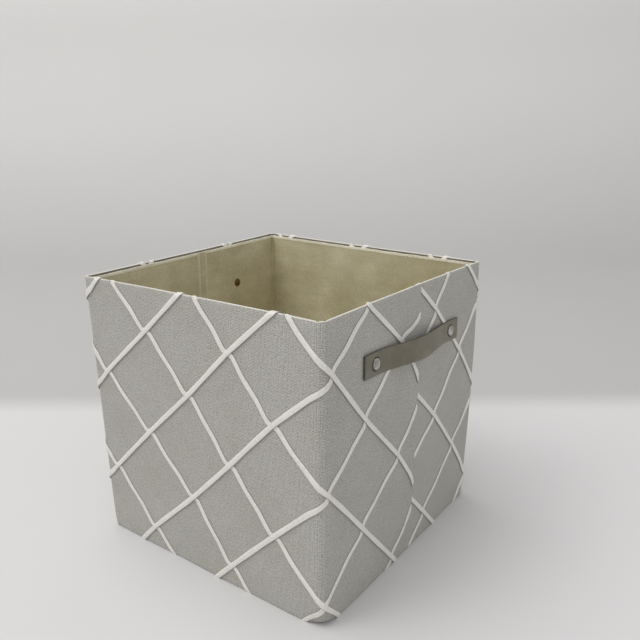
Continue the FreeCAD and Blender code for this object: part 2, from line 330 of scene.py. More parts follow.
# ---------------------------------------------------------------- materials
class Nodes:
    """A short way to wire one procedural material."""

    def __init__(self, name):
        self.material = bpy.data.materials.new(name)
        self.material.use_nodes = True
        self.tree = self.material.node_tree
        self.shader = self.tree.nodes["Principled BSDF"]

    def add(self, kind, **settings):
        """A node of a kind, with its inputs or properties set by name."""
        node = self.tree.nodes.new(kind)
        for key, value in settings.items():
            if key in node.inputs:
                node.inputs[key].default_value = value
            else:
                setattr(node, key, value)
        return node

    def link(self, source, target):
        self.tree.links.new(source, target)

    def scaled(self, vector, scale):
        """A vector scaled along each axis."""
        mapping = self.add("ShaderNodeMapping", Scale=scale)
        self.link(vector, mapping.inputs["Vector"])
        return mapping.outputs["Vector"]

    def cloth_uv(self, scale=(1, 1, 1)):
        """The piece's own cloth coordinates, in metres, scaled."""
        return self.scaled(self.add("ShaderNodeUVMap", uv_map="cloth").outputs["UV"], scale)

    def place(self, scale=(1, 1, 1)):
        """Object coordinates, in metres, scaled."""
        return self.scaled(self.add("ShaderNodeTexCoord").outputs["Object"], scale)

    def axes(self, vector):
        """The X, Y and Z of a vector."""
        split = self.add("ShaderNodeSeparateXYZ")
        self.link(vector, split.inputs["Vector"])
        return split.outputs

    def noise(self, vector, scale, detail=3.0, roughness=0.55):
        """Soft noise, from 0 to 1."""
        node = self.add("ShaderNodeTexNoise", Scale=scale, Detail=detail, Roughness=roughness)
        self.link(vector, node.inputs["Vector"])
        return node.outputs["Fac"]

    def wave(self, vector, scale, direction, distortion=0.0, detail=1.0):
        """Even stripes across one axis, from 0 to 1."""
        node = self.add("ShaderNodeTexWave", bands_direction=direction,
                        Scale=scale, Distortion=distortion, Detail=detail)
        self.link(vector, node.inputs["Vector"])
        return node.outputs["Fac"]

    def cells(self, vector, scale, feature="F1"):
        """Distance from the nearest of many scattered points."""
        node = self.add("ShaderNodeTexVoronoi", feature=feature, Scale=scale)
        self.link(vector, node.inputs["Vector"])
        return node.outputs["Distance"]

    def put(self, socket, value):
        """Sets an input to a number or a colour, or links it to another node's output."""
        if isinstance(value, (int, float)):
            socket.default_value = value
        elif isinstance(value, tuple):
            socket.default_value = (*value, 1)
        else:
            self.link(value, socket)

    def math(self, operation, *values):
        """One sum of a ShaderNodeMath, on numbers or outputs."""
        node = self.add("ShaderNodeMath", operation=operation)
        for socket, value in zip(node.inputs, values):
            self.put(socket, value)
        return node.outputs[0]

    def plus(self, first, second):
        return self.math("ADD", first, second)

    def minus(self, first, second):
        return self.math("SUBTRACT", first, second)

    def times(self, first, second):
        return self.math("MULTIPLY", first, second)

    def absolute(self, value):
        return self.math("ABSOLUTE", value)

    def ramp(self, factor, *stops):
        """A colour that passes through the stops, each a (factor, colour) pair."""
        node = self.add("ShaderNodeValToRGB")
        elements = node.color_ramp.elements
        while len(elements) < len(stops):
            elements.new(0.5)
        for element, (position, colour) in zip(elements, stops):
            element.position = position
            element.color = (*colour, 1)
        self.link(factor, node.inputs["Fac"])
        return node.outputs["Color"]

    def band(self, value, low, high):
        """0 to 1 as a value passes from low to high, either way round."""
        node = self.add("ShaderNodeMapRange", interpolation_type="SMOOTHSTEP")
        node.inputs["From Min"].default_value = low
        node.inputs["From Max"].default_value = high
        self.link(value, node.inputs["Value"])
        return node.outputs["Result"]

    def mix(self, factor, first, second, blend="MIX"):
        """First colour at factor 0, second at 1."""
        node = self.add("ShaderNodeMix", data_type="RGBA", blend_type=blend)
        for index, value in ((0, factor), (6, first), (7, second)):
            self.put(node.inputs[index], value)
        return node.outputs[2]

    def shade(self, colour, shade):
        """A colour multiplied by another."""
        return self.mix(1.0, colour, shade, "MULTIPLY")

    def finish(self, colour, height, depth, strength=1.0, **sockets):
        """Connects colour and a bump of some depth to the shader, sets its sockets, gives the material."""
        self.link(colour, self.shader.inputs["Base Color"])
        relief = self.add("ShaderNodeBump", Distance=depth, Strength=strength)
        self.link(height, relief.inputs["Height"])
        self.link(relief.outputs["Normal"], self.shader.inputs["Normal"])
        for key, value in sockets.items():
            self.shader.inputs[key.replace("_", " ")].default_value = value
        return self.material


def srgb(red, green, blue):
    """A colour given as 0 to 255 screen values, as linear light."""
    values = []
    for channel in (red, green, blue):
        c = channel / 255
        values.append(c / 12.92 if c <= 0.04045 else ((c + 0.055) / 1.055) ** 2.4)
    return tuple(values)


CAMERA_AZIMUTH = 36.13
TABLE_END = 0.30         # from the middle of the bin to where the table passes into the backdrop
TABLE_FADE = 0.10
TABLE_COLOUR = srgb(205, 203, 202)
# backdrop colours, darker at its foot and paler higher up: painted shade and light of the lamps
WALL_LOW_SHADED_COLOUR = srgb(158, 156, 154)
WALL_HIGH_LIT_COLOUR = srgb(224, 222, 219)
# dark grey for the tapes' long edges: painted shade beside them
TAPE_EDGE_SHADE = srgb(112, 108, 99)
LINEN_DARK = srgb(116, 114, 107)
LINEN_LIGHT = srgb(210, 208, 200)
# pale colour of the rolled crest of the rim: a painted highlight where the top light catches it
LINEN_CREST_HIGHLIGHT = srgb(226, 222, 210)
# dark colour of the cover's inner hem below the roll and of a line beside each side seam: painted shade
LINEN_HEM_SHADE = srgb(112, 107, 97)


def linen_material():
    """Plain-weave linen look: even warp and weft threads, fine slubs and a faint mottle, with a painted
    highlight on the rolled crest of the rim, painted shade on its inner hem and a line of painted shade
    beside each side seam.
    """
    n = Nodes("linen_weave")
    uv = n.cloth_uv()
    warp = n.wave(n.cloth_uv((1, 0.05, 1)), 205.0, "X", 1.6, 2.0)
    weft = n.wave(n.cloth_uv((0.05, 1, 1)), 205.0, "Y", 1.6, 2.0)
    grain = n.noise(uv, 700.0, 3.0, 0.7)
    slub_warp = n.noise(n.cloth_uv((900, 60, 1)), 1.0, 2.0)
    slub_weft = n.noise(n.cloth_uv((60, 900, 1)), 1.0, 2.0)
    threads = n.times(n.plus(warp, weft), 0.5)
    slubs = n.plus(n.times(slub_warp, 0.5), n.times(slub_weft, 0.5))
    mixed = n.plus(n.times(threads, 0.24), n.times(grain, 0.56))
    height = n.plus(mixed, n.times(slubs, 0.2))
    fine = n.ramp(height, (0.34, LINEN_DARK), (0.64, LINEN_LIGHT))
    mottle = n.ramp(n.noise(uv, 14.0, 3.0), (0.35, (0.935, 0.93, 0.915)), (0.65, (0.99, 0.99, 0.985)))
    colour = n.shade(fine, mottle)
    axes = n.axes(uv)
    up = n.minus(axes["Y"], HEIGHT)
    # the rolled crest over the rim is painted paler: a painted highlight
    crest_highlight = n.times(n.band(up, -0.8 * MM, 0.2 * MM), n.band(up, 2.6 * MM, 1.9 * MM))
    colour = n.mix(n.times(crest_highlight, 0.75), colour, LINEN_CREST_HIGHLIGHT)
    # the cover's inner face below the roll is painted darker: painted shade in the slot behind the edging
    colour = n.mix(n.times(n.band(up, 1.9 * MM, 2.7 * MM), 0.9), colour, LINEN_HEM_SHADE)
    # a narrow line just behind each side seam, beside the raised lap, is painted darker: painted shade
    off_seam = n.absolute(n.minus(n.absolute(axes["X"]), SEAM + 0.4 * MM))
    colour = n.mix(n.times(n.band(off_seam, 0.9 * MM, 0.3 * MM), 0.45), colour, LINEN_HEM_SHADE)
    return n.finish(colour, height, 0.0009, 0.5, Roughness=0.9, Specular_IOR_Level=0.18, Sheen_Weight=0.08)


def tape_material():
    """Off-white ribbed cotton tape, with painted shade along its long edges."""
    n = Nodes("ribbed_tape")
    rib = n.wave(n.cloth_uv((1, 0.15, 1)), 420.0, "X", 1.2, 2.0)
    fibre = n.noise(n.cloth_uv((260, 1400, 1)), 1.0, 3.0)
    height = n.plus(n.times(rib, 0.45), n.times(fibre, 0.8))
    body = n.ramp(fibre, (0.3, srgb(214, 210, 202)), (0.7, srgb(244, 240, 234)))
    patch = n.ramp(n.noise(n.cloth_uv(), 30.0, 2.0), (0.3, (0.95, 0.945, 0.93)), (0.7, (1.0, 1.0, 1.0)))
    colour = n.shade(n.mix(n.times(rib, 0.18), body, srgb(250, 248, 243)), patch)
    # the tape's long edges are painted darker: painted shade, in a wider band on its raised lower edge
    across = n.axes(n.cloth_uv())["Y"]
    edges = n.plus(n.band(across, -2.2 * MM, -3.0 * MM), n.band(across, 2.9 * MM, 3.3 * MM))
    colour = n.mix(n.times(n.math("MINIMUM", edges, 1.0), 0.8), colour, TAPE_EDGE_SHADE)
    return n.finish(colour, height, 0.0005, 0.6, Roughness=0.92, Specular_IOR_Level=0.2, Sheen_Weight=0.1)


def nonwoven_material(name, dark, light, cloud, laps=False):
    """Pressed non-woven cloth: matted fibres, faint embossed points, clouds of colour and, with laps, a
    painted highlight on the ridges of the sewn laps.
    """
    n = Nodes(name)
    place = n.place()
    fibres = n.noise(n.place((420, 420, 420)), 1.0, 4.0, 0.75)
    dimple = n.times(n.cells(place, 700.0), 0.6)
    clouds = n.noise(place, cloud, 4.0, 0.62)
    streaks = n.noise(n.place((18, 18, 60)), 1.0, 3.0)
    blend = n.plus(n.times(clouds, 0.7), n.times(streaks, 0.3))
    base = n.ramp(blend, (0.38, dark), (0.62, light))
    grain = n.ramp(fibres, (0.35, (0.86, 0.86, 0.855)), (0.65, (1.07, 1.07, 1.06)))
    colour = n.shade(base, grain)
    if laps:
        # the ridges either side of each lap are painted paler: a painted highlight
        from_lap = n.minus(n.absolute(n.axes(n.cloth_uv())["X"]), LINING_SEAMS[1])
        from_edge = n.absolute(n.minus(n.absolute(from_lap), 0.8 * LINING_LAP_HALF))
        lap_highlight = n.times(n.band(from_edge, 2.4 * MM, 0.4 * MM), 0.5)
        colour = n.mix(lap_highlight, colour, LINING_LAP_HIGHLIGHT)
    height = n.plus(fibres, dimple)
    return n.finish(colour, height, 0.0004, 0.45,
                    Roughness=0.88, Specular_IOR_Level=0.22, Sheen_Weight=0.05)


def leather_material():
    """Satin taupe leather look with a fine pebble grain and paler worn edges."""
    n = Nodes("taupe_leather")
    place = n.place()
    pebbles = n.cells(place, 1300.0, "SMOOTH_F1")
    creases = n.noise(n.place((220, 60, 420)), 1.0, 4.0)
    tone = n.noise(place, 45.0, 3.0)
    edge = n.add("ShaderNodeNewGeometry")
    worn = n.ramp(edge.outputs["Pointiness"], (0.52, (0, 0, 0)), (0.6, (1, 1, 1)))
    base = n.ramp(tone, (0.35, srgb(96, 91, 74)), (0.65, srgb(112, 106, 88)))
    colour = n.mix(worn, base, srgb(186, 180, 165))
    height = n.plus(n.times(pebbles, 0.8), n.times(creases, 0.5))
    rough = n.ramp(creases, (0.3, (0.3, 0.3, 0.3)), (0.7, (0.42, 0.42, 0.42)))
    n.link(rough, n.shader.inputs["Roughness"])
    return n.finish(colour, height, 0.00025, 0.35,
                    Specular_IOR_Level=0.45, Coat_Weight=0.08, Coat_Roughness=0.35)


def painted_edge_material():
    """The dark sealed edge of the straps."""
    n = Nodes("strap_edge_paint")
    tone = n.noise(n.place(), 300.0, 3.0)
    colour = n.ramp(tone, (0.3, srgb(70, 64, 54)), (0.7, srgb(92, 86, 74)))
    return n.finish(colour, tone, 0.0002, 0.3, Roughness=0.5, Specular_IOR_Level=0.4)


def metal_material(name, dark, light, roughness, wear):
    """Plated metal with fine turning marks, small dulled patches and softened gloss."""
    n = Nodes(name)
    place = n.place()
    patches = n.noise(place, wear, 4.0)
    scratches = n.noise(n.place((300, 2600, 1900)), 1.0, 2.0)
    colour = n.ramp(patches, (0.35, dark), (0.65, light))
    rough = n.ramp(patches, (0.3, (roughness + 0.12,) * 3), (0.7, (roughness,) * 3))
    n.link(rough, n.shader.inputs["Roughness"])
    return n.finish(colour, scratches, 0.00004, 0.3, Metallic=1.0)


def board_material():
    """Grey-brown pressed board with fibres and specks."""
    n = Nodes("pressed_board")
    fibre = n.noise(n.place((400, 60, 900)), 1.0, 4.0)
    speck = n.noise(n.place(), 900.0, 2.0)
    base = n.ramp(fibre, (0.3, srgb(146, 124, 94)), (0.7, srgb(176, 152, 118)))
    dust = n.ramp(speck, (0.62, (1, 1, 1)), (0.74, (0.72, 0.7, 0.66)))
    return n.finish(n.shade(base, dust), fibre, 0.0004, 0.5, Roughness=0.95)


def studio_material():
    """Matt surface under and behind the bin: a pale table that passes softly into a greyer backdrop, which
    is painted darker low down and paler higher up as painted shade and light.
    """
    n = Nodes("studio_sweep")
    across = n.add("ShaderNodeTexCoord")
    turned = n.add("ShaderNodeMapping")
    turned.inputs["Rotation"].default_value = (0, 0, -math.radians(CAMERA_AZIMUTH))
    n.link(across.outputs["Object"], turned.inputs["Vector"])
    axes = n.axes(turned.outputs["Vector"])
    # the backdrop is painted darker low down and paler higher up: painted shade and light
    backdrop = n.mix(n.band(axes["Z"], -0.6, 1.2), WALL_LOW_SHADED_COLOUR, WALL_HIGH_LIT_COLOUR)
    tone = n.mix(n.band(axes["Y"], TABLE_END, TABLE_END + TABLE_FADE), TABLE_COLOUR, backdrop)
    cloud = n.ramp(n.noise(n.place(), 1.5, 2.0), (0.3, (0.985, 0.985, 0.985)), (0.7, (1.0, 1.0, 1.0)))
    return n.finish(n.shade(tone, cloud), n.noise(n.place(), 300.0, 2.0), 0.0001, 0.1, Roughness=0.75)


LINEN = linen_material()
TAPE = tape_material()
LINING = nonwoven_material("khaki_nonwoven", srgb(182, 172, 140), srgb(208, 200, 170), 9.0, laps=True)
EDGING = nonwoven_material("cream_edging", srgb(222, 214, 192), srgb(240, 234, 216), 40.0)
BASE = nonwoven_material("base_nonwoven", srgb(120, 113, 90), srgb(142, 135, 110), 12.0)
LEATHER = leather_material()
EDGE_PAINT = painted_edge_material()
NICKEL = metal_material("nickel_cap", srgb(150, 148, 142), srgb(204, 202, 197), 0.14, 60.0)
# near-black metal for the ring round each cap and for the post: painted shade of the recess round the cap
RIVET_SHADE_METAL = metal_material("rivet_painted_shade", srgb(58, 54, 48), srgb(92, 88, 80), 0.38, 80.0)
OLD_BRASS = metal_material("old_brass", srgb(84, 68, 38), srgb(142, 120, 74), 0.3, 140.0)
PRESSED_BOARD = board_material()
STUDIO = studio_material()

# ---------------------------------------------------------------- which body each stretch of wall follows
QUARTER = SIDE / 4
RIGHT_FRONT_CUT = RIGHT_MIDDLE - QUARTER
RIGHT_REAR_CUT = RIGHT_MIDDLE + QUARTER


def corner_points(x_side, y_side):
    """Start on the front or rear wall and end on the side wall, around one corner."""
    on_end = (x_side * (WIDTH / 2 - CORNER_ZONE), y_side * DEPTH / 2, 0)
    on_side = (x_side * WIDTH / 2, y_side * (DEPTH / 2 - CORNER_ZONE), 0)
    return on_end, on_side


# Name, start and stop along the wall, the two bodies, and where the bend starts and ends
SPANS = [
    ("left_side", -RIGHT_END, -RIGHT_FRONT_CUT, "left_rear_half", "left_front_half",
     (-WIDTH / 2, FOLD_ZONE, 0), (-WIDTH / 2, -FOLD_ZONE, 0)),
    ("front_left", -RIGHT_FRONT_CUT, 0.0, "front_wall", "left_front_half", *corner_points(-1, -1)),
    ("front_right", 0.0, RIGHT_FRONT_CUT, "front_wall", "right_front_half", *corner_points(1, -1)),
    ("right_side", RIGHT_FRONT_CUT, RIGHT_REAR_CUT, "right_front_half", "right_rear_half",
     (WIDTH / 2, -FOLD_ZONE, 0), (WIDTH / 2, FOLD_ZONE, 0)),
    ("rear", RIGHT_REAR_CUT, ROUND - RIGHT_END, "rear_wall", "right_rear_half", *corner_points(1, 1)),
]
PANELS_OF = {
    "left_side": ("left_rear", "left_front"),
    "front_left": ("front", "left_front"),
    "front_right": ("front", "right_front"),
    "right_side": ("right_front", "right_rear"),
    "rear": ("rear", "right_rear"),
}


def attach(obj, span, slot, *layers):
    """Bakes a wall piece in place and lets it stand for its two panels' CAD nodes, which it hides."""
    name, _, _, body_a, body_b, start, end = span
    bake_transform(obj)
    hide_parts(*[f"{panel}_{layer}" for panel in PANELS_OF[name] for layer in layers])


# ---------------------------------------------------------------- cover, lining, edging and boards
def cover_section():
    """Closed section of the cover: up the outside, over the rim, and back along its inner face."""
    top = HEIGHT - ROLL + math.pi * ROLL + HEM_INSIDE
    bottom = FLOOR_TURN - FLOOR_TURN * math.pi / 2 - HEM_UNDER
    low_turn = FLOOR_TURN - FLOOR_TURN * math.pi / 2
    lengths = list(np.linspace(bottom, low_turn, 3)) + list(np.linspace(low_turn, FLOOR_TURN, 6))[1:]
    lengths += list(spaced(FLOOR_TURN, CORNER_RISE, 3 * MM))[1:]
    lengths += list(spaced(CORNER_RISE, HEIGHT - ROLL, 5 * MM))[1:]
    lengths += list(np.linspace(HEIGHT - ROLL, top, 11))[1:]
    outer = [(s, 0.0) for s in lengths]
    inner = [(s, -CLOTH) for s in reversed(lengths)]
    return outer + inner


def make_cover(span):
    """Linen cover on one stretch of wall."""
    name, start, stop = span[:3]
    obj = loop_sheet(name + "_cover_skin", wall_stations(start, stop), cover_section(), on_cloth, LINEN)
    attach(obj, span, "cover_cloth", "cover")


def lining_place(u, z, out):
    """The lining, with sewn ridges and soft creases that die out towards the floor."""
    ridge = 0.0
    for seam in LINING_SEAMS:
        from_seam = np.abs(u - seam)
        ridge = ridge + LINING_LAP * smooth((LINING_LAP_HALF - from_seam) / (1.6 * MM))
        ridge = ridge + LINING_RIDGE * bump((from_seam - 0.8 * LINING_LAP_HALF) / (2.2 * MM))
    ridge = ridge + 0.3 * LINING_RIDGE * bump((u - REAR_MIDDLE + 67 * MM) / (3 * MM))
    high = smooth((z - 0.55 * HEIGHT) / (0.4 * HEIGHT)) * smooth((HEIGHT - z) / (12 * MM))
    crease = LINING_CREASE * high * np.sin(u * 95 + 1.1 * np.sin(z * 40))
    crease = crease * np.sin(z * 52 + 2.3 * np.sin(u * 17))
    corner = bump((np.mod(u + ROUND, ROUND) - RIGHT_END - ARC / 2) / (30 * MM))
    inside = smooth((z - 2 * MM) / (10 * MM))
    return shell(u, z, out - inside * (ridge * smooth((HEIGHT - z) / (6 * MM)) + crease * (1 - corner)))


def sheet_section(low, high, step, first, second):
    """Closed section of an upright sheet: up one face, at a distance outside the cover, down the other."""
    heights = list(spaced(low, high, step))
    return [(z, first) for z in heights] + [(z, second) for z in reversed(heights)]


def make_lining(span):
    """Khaki lining on one stretch of wall, from the cloth floor to the edging."""
    name, start, stop = span[:3]
    low, high = FLOOR_CLOTH, HEIGHT + LIP_HEIGHT - LINING_THICK
    section = sheet_section(low, high, 5 * MM, -LINING_FACE, -LINING_FACE + LINING_THICK)[::-1]
    obj = loop_sheet(name + "_lining_skin", wall_stations(start, stop), section, lining_place, LINING)
    attach(obj, span, "lining_cloth", "lining")


def make_edging(span):
    """The pale turned edge of the lining, standing just above the rolled rim."""
    name, start, stop = span[:3]
    half, top = 0.5 * MM, HEIGHT + LIP_HEIGHT
    centre = -LINING_FACE + 0.1 * MM
    section = [(top - 3.5 * MM, centre + half * 0.7)]
    for step in range(9):
        angle = math.pi * step / 8
        section.append((top - half + half * math.sin(angle), centre + half * math.cos(angle)))
    section.append((top - 3.5 * MM, centre - half * 0.8))

    def place(u, z, out):
        uneven = 0.18 * MM * np.sin(u * 210 + 0.7 * np.sin(u * 55)) + 0.12 * MM * np.sin(u * 71)
        return shell(u, z + uneven * smooth((z - top + 2 * MM) / (2 * MM)), out)

    obj = loop_sheet(name + "_edging_skin", wall_stations(start, stop), section, place, EDGING)
    attach(obj, span, "edging_cloth", "rim_edging")


BOARD_GAP = 7 * MM           # from the end of a wall, or its foot, to its board
BOARD_TOP_GAP = 6 * MM
OPEN_CORNER_GAP = 8 * MM     # the left rear board stops short of the corner that parts as it folds


def make_board(panel, start, stop, body):
    """A stiff board that follows the wall's bow, with its own small edge gaps."""
    low, high = BOARD_BOTTOM + BOARD_GAP, BOARD_TOP - BOARD_TOP_GAP
    section = sheet_section(low, high, 12 * MM, -BOARD_OUT - 0.05 * MM, -BOARD_IN + 0.15 * MM)
    obj = loop_sheet(panel + "_board_sheet", spaced(start, stop, 8 * MM), section, shell, PRESSED_BOARD)
    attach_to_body(obj, body)
    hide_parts(panel + "_board")


def make_boards():
    """The six boards, each short of the corners, the folds and the ends of its wall."""
    gap, fold_gap = BOARD_GAP, 1.5 * MM
    make_board("front", -HALF_FRONT + gap, HALF_FRONT - gap, "front_wall")
    make_board("rear", REAR_START + gap, ROUND - REAR_START - gap, "rear_wall")
    make_board("right_front", RIGHT_START + gap, RIGHT_MIDDLE - fold_gap, "right_front_half")
    make_board("right_rear", RIGHT_MIDDLE + fold_gap, RIGHT_END - gap, "right_rear_half")
    make_board("left_front", -RIGHT_MIDDLE + fold_gap, -RIGHT_START - gap, "left_front_half")
    make_board("left_rear", -RIGHT_END + OPEN_CORNER_GAP, -RIGHT_MIDDLE - fold_gap, "left_rear_half")


HINGE_INSET = 9.8 * MM       # from the outside of the rear wall to the corner hinge
GUSSET_RADIUS = 3.2 * MM
GUSSET_THICK = 0.3 * MM


def make_corner_gusset():
    """A pleat of cover cloth round the left rear hinge, which shows only as the side folds in."""
    hinge_x, hinge_y = -(WIDTH / 2 - WALL), DEPTH / 2 - HINGE_INSET

    def place(angle, z, radius):
        return slack(np.stack([hinge_x + radius * np.cos(angle), hinge_y + radius * np.sin(angle), z], 1))

    heights = list(spaced(3 * MM, HEIGHT - 5 * MM, 12 * MM))
    section = [(z, GUSSET_RADIUS) for z in reversed(heights)]
    section += [(z, GUSSET_RADIUS - GUSSET_THICK) for z in heights]
    angles = np.radians(np.linspace(130, 235, 15))
    pleat = loop_sheet("rear_left_gusset", angles, section, place, LINEN)
    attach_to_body(pleat, "rear_wall")


# ---------------------------------------------------------------- tape lattice
# Where the tapes cross on the two pieces of cover, row by row from above the rim to below the floor:
# (distance along the wall from the middle of the front, distance below the rim), in mm, as measured
# on the front and right walls and over the far rim, and estimated elsewhere.
FRONT_CROSSINGS = [
    [(-129, -11), (0, -9), (117, -6), (234, 0), (353, 32)],
    [(-67, 49), (52, 51), (176, 53), (299, 55)],
    [(-141, 111), (-8, 110), (106, 114), (232, 118), (355, 125)],
    [(-76, 171), (47, 175), (171, 174), (298, 185)],
    [(-143, 234), (-12, 233), (104, 238), (230, 241), (355, 254)],
    [(-83, 297), (41, 300), (166, 299), (296, 314)],
    [(-145, 360), (-18, 360), (103, 364), (228, 366), (350, 372)],
]
REAR_CROSSINGS = [
    [(309, -16), (424, -26), (540, -12), (660, -12), (786, -12), (911, -10)],
    [(373, 36), (496, 39), (602, 50)],
    [(314, 106), (439, 102), (545, 112)],
    [(380, 167), (497, 168), (604, 174)],
    [(307, 228), (439, 229), (546, 236)],
    [(370, 292), (491, 292), (605, 298)],
    [(306, 354), (434, 358), (546, 360)],
]
LATTICE_PITCH = 123 * MM
OVER_WIDTH = 6.2 * MM
UNDER_WIDTH = 7.2 * MM
KINK_START = 0.06        # shares of the way to the next crossing
KINK_FADE = 0.34
KINK = 2.8 * MM          # sideways step of a tape where it passes under another
CORNER_KINK = 0.4        # share of that step which is left at a corner of the bin
SEAM_CURL = 7 * MM       # how much a tape end is pulled up or down at the side seam
SEAM_CURL_REACH = 11 * MM
TAPE_STEP = 3 * MM
HUMP_REACH = 8 * MM      # half of the stretch where the upper tape rises over the other


def lattice(rows, start, stop, shift):
    """Crossing points in metres as (along, up), moved by shift and continued past both ends."""
    grown = []
    for row in rows:
        points = [(u * MM + shift, HEIGHT - drop * MM) for u, drop in row]
        while points[0][0] > start - LATTICE_PITCH:
            points.insert(0, (points[0][0] - LATTICE_PITCH, points[0][1]))
        while points[-1][0] < stop + LATTICE_PITCH:
            points.append((points[-1][0] + LATTICE_PITCH, points[-1][1]))
        grown.append(points)
    return grown


def nearest(row, along, low, high):
    """The crossing of a row that lies between low and high to the right of a place, or None."""
    found = [point for point in row if low < point[0] - along < high]
    return found[0] if found else None


def tape_routes(grown, rising):
    """Lists of crossings, each the course of one tape, followed to the right."""
    order = grown[::-1] if rising else grown
    reach = 0.95 * LATTICE_PITCH
    routes, open_routes = [], []
    for row in order:
        taken, still_open = set(), []
        for route in open_routes:
            step = nearest(row, route[-1][0], 0.12 * LATTICE_PITCH, reach)
            if step is None:
                routes.append(route)
            else:
                taken.add(step)
                still_open.append(route + [step])
        still_open += [[point] for point in row if point not in taken]
        open_routes = still_open
    return [route for route in routes + open_routes if len(route) > 1]


def on_top(point, rising):
    """Whether the rising or falling tape is the upper one at a crossing."""
    along = point[0]
    on_side = RIGHT_START - 4 * MM < along < RIGHT_END or ROUND - RIGHT_END < along or along < -RIGHT_START
    return rising != on_side


def kink_at(crossing):
    """Sideways step at a crossing: the tapes are sewn straighter on the corners."""
    from_corner = abs(math.remainder(crossing[0], ROUND)) - (HALF_FRONT + RIGHT_START) / 2
    return KINK * (1 - (1 - CORNER_KINK) * float(bump(from_corner / (12 * MM))))


def tape_line(route, rising):
    """Samples of one tape: place, height up the cloth, how far it is on top, and its hump at a crossing."""
    samples = []
    points = [np.array(p) for p in route]
    points = [2 * points[0] - points[1]] + points + [2 * points[-1] - points[-2]]
    for index in range(1, len(points) - 2):
        before, here, after, later = points[index - 1:index + 3]
        top_here, top_after = float(on_top(here, rising)), float(on_top(after, rising))
        count = int(np.linalg.norm(after - here) / TAPE_STEP)
        for step in range(count):
            t = step / count
            curve = 0.5 * (2 * here + (after - before) * t
                           + (2 * before - 5 * here + 4 * after - later) * t ** 2
                           + (3 * here - before - 3 * after + later) * t ** 3)
            straight = here + (after - here) * t
            centre = 0.5 * curve + 0.5 * straight
            leave = (1 - top_here) * smooth(t / KINK_START) * (1 - smooth((t - KINK_START) / KINK_FADE))
            arrive = (1 - top_after) * smooth((1 - t) / KINK_START)
            arrive *= 1 - smooth((1 - KINK_START - t) / KINK_FADE)
            direction = (after - here) / np.linalg.norm(after - here)
            sideways = np.array([-direction[1], direction[0]])
            centre = centre + sideways * float(kink_at(here) * leave - kink_at(after) * arrive)
            top = top_here + (top_after - top_here) * float(smooth((t - 0.2) / 0.6))
            length = count * TAPE_STEP / HUMP_REACH
            hump = top_here * bump(t * length) + top_after * bump((1 - t) * length)
            samples.append((centre[0], centre[1], top, float(hump)))
    return samples


def curl_at_seams(samples, rising, seams):
    """Tape ends bend steeply where the side seam gathers them."""
    curled = []
    for u, s, top, hump in samples:
        shares = [(seam, max(0.0, 1 - abs(seam - u) / SEAM_CURL_REACH)) for seam in seams]
        pull = sum(math.copysign(share ** 2, seam) for seam, share in shares)
        curled.append((u, s + (1 if rising else -1) * SEAM_CURL * pull, top, hump))
    return curled


def ribbon_section(top, hump):
    """Closed section of a tape, as (sideways share, lift): raised at its lower edge where it is on top."""
    raised = 0.4 + 0.9 * top
    lift = hump * 0.5
    body = 0.85 + 0.6 * top
    outline_points = [(-1.0, 0.8 * raised), (-0.93, body * 0.9), (-0.7, body), (0.0, body * 1.05),
                      (0.55, body * 0.97), (0.85, body * 0.75), (1.0, 0.25), (0.9, -0.12), (-0.45, -0.12),
                      (-0.88, 0.5 * raised - 0.1)]
    return [(share, (height + lift) * MM) for share, height in outline_points]


def add_ribbon(target, samples):
    """Adds one tape to a bmesh whose points are (along, up the cloth, lift)."""
    uv = target.loops.layers.uv.verify()
    rings, length = [], 0.0
    path = np.array([(s[0], s[1]) for s in samples])
    directions = np.gradient(path, axis=0)
    directions /= np.linalg.norm(directions, axis=1)[:, None]
    for index, (u, s, top, hump) in enumerate(samples):
        if index:
            length += float(np.linalg.norm(path[index] - path[index - 1]))
        half = (UNDER_WIDTH + (OVER_WIDTH - UNDER_WIDTH) * top) / 2
        uneven = 1 + 0.05 * math.sin(length * 90 + u * 40)
        side = np.array([-directions[index][1], directions[index][0]])
        ring = []
        for share, lift in ribbon_section(top, hump):
            at = path[index] + side * share * half * uneven
            ring.append((target.verts.new((at[0], at[1], lift)), (length, share * half)))
        rings.append(ring)
    for one, two in zip(rings, rings[1:]):
        for j in range(len(one)):
            k = (j + 1) % len(one)
            corners = (one[k], one[j], two[j], two[k])
            face = target.faces.new([vertex for vertex, _ in corners])
            for loop, (_, place) in zip(face.loops, corners):
                loop[uv].uv = place
    for ring, flip in ((rings[0], False), (rings[-1], True)):
        corners = ring[::-1] if flip else ring
        face = target.faces.new([vertex for vertex, _ in corners])
        for loop, (_, place) in zip(face.loops, corners):
            loop[uv].uv = place


def clip_mesh(mesh, limits):
    """Keeps the part of a flat-space bmesh between (axis, low, high) limits and closes the cuts."""
    for axis, low, high in limits:
        for value, way in ((low, -1), (high, 1)):
            normal = Vector((0, 0, 0))
            normal[axis] = way
            place = Vector((0, 0, 0))
            place[axis] = value
            cut = bmesh.ops.bisect_plane(mesh, geom=mesh.verts[:] + mesh.edges[:] + mesh.faces[:],
                                         plane_co=place, plane_no=normal, clear_outer=True)
            edges = [item for item in cut["geom_cut"] if isinstance(item, bmesh.types.BMEdge)]
            if edges:
                bmesh.ops.holes_fill(mesh, edges=edges)


